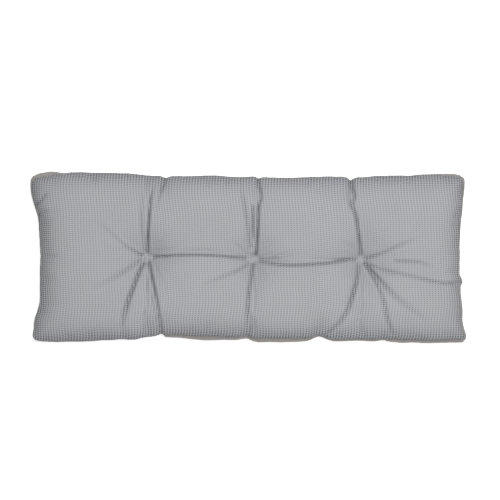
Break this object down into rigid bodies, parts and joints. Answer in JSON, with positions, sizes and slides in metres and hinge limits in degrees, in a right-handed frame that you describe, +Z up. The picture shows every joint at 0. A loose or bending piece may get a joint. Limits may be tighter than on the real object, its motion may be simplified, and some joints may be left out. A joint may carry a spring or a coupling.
{
  "type": "bench cushion",
  "caption": "Long tufted bench cushion with puffed cells, a face of small relief weave, a plain boxing band and drawn-in sides.",
  "frame": {"origin": "middle of the cushion's outer box, on the surface that it lies on", "axes": "+X along the length, +Y across the depth, away from whoever looks at its front side, +Z up, out of the tufted face"},
  "size_m": [1.1982, 0.4756, 0.1009],
  "materials": {
    "relief_weave": "matt polyester cloth woven with a small grid of raised ribs and hollows",
    "plain_weave": "matt plain-woven polyester cloth",
    "tuft_thread": "thick matt twisted polyester thread"
  },
  "bodies": {
    "root": {"filled_body": "plain_weave", "top_panel": "relief_weave", "side_band": "plain_weave", "back_panel": "plain_weave", "tuft_1": "tuft_thread", "back_tuft_1": "tuft_thread", "tuft_2": "tuft_thread", "back_tuft_2": "tuft_thread", "tuft_3": "tuft_thread", "back_tuft_3": "tuft_thread"}
  },
  "joints": []
}
